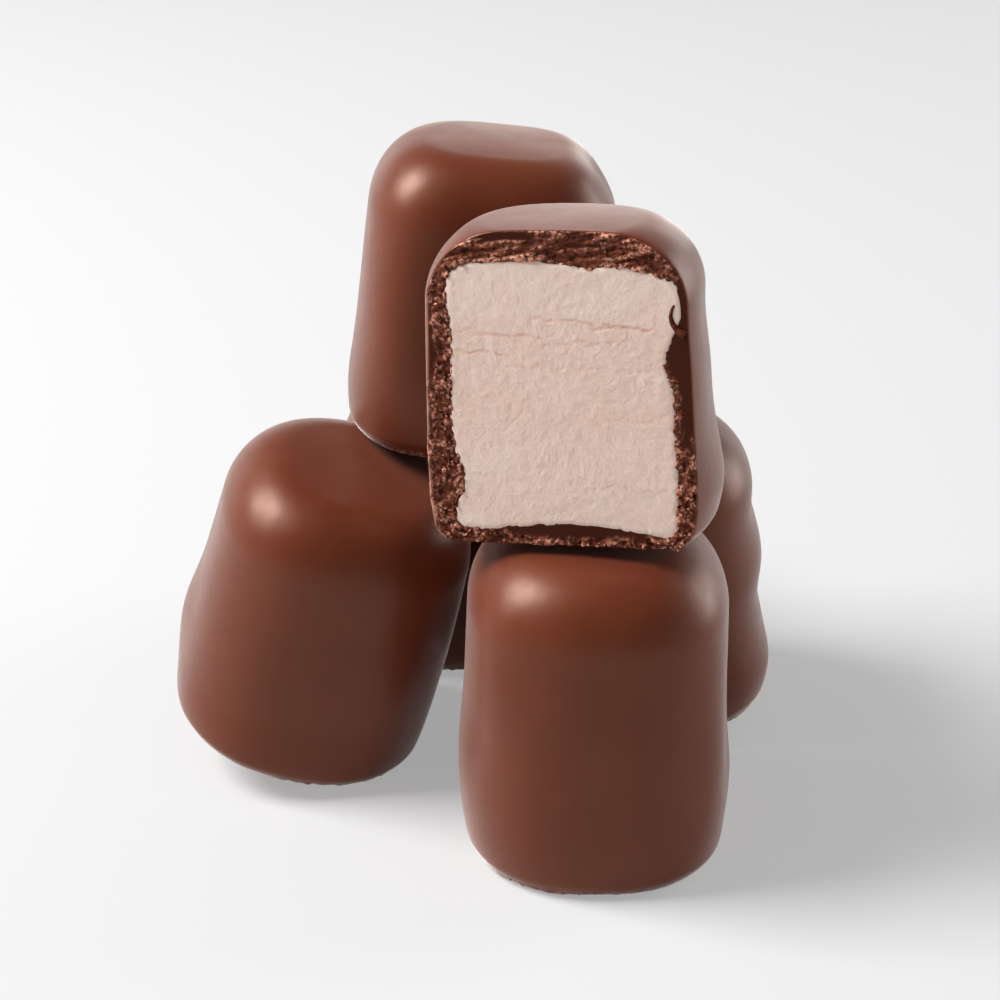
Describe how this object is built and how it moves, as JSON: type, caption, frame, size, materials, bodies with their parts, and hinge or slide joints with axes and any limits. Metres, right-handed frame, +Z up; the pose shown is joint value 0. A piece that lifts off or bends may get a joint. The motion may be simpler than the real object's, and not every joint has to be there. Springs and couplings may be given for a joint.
{
  "type": "chocolate-coated marshmallows",
  "caption": "Small stack of tall, rounded marshmallows in a milk chocolate coat, the front upper one cut open to show its pale filling.",
  "frame": {"origin": "bottom centre of the bounding box, on the surface that the stack stands on", "axes": "+Z up, -Y towards the viewer, whom the cut face looks at, +X to the viewer's right"},
  "size_m": [0.0784, 0.0858, 0.0789],
  "materials": {
    "chocolate": "satin milk chocolate, smooth outside and crumbly where it is cut",
    "filling": "matt, pale pinkish marshmallow with a fine velvety grain"
  },
  "bodies": {
    "root": {"front_left_marshmallow": "chocolate", "front_right_marshmallow": "chocolate", "back_right_marshmallow": "chocolate", "back_left_marshmallow": "chocolate", "back_top_marshmallow": "chocolate", "cut_marshmallow_coat": "chocolate", "cut_marshmallow_filling": "filling"}
  },
  "joints": []
}
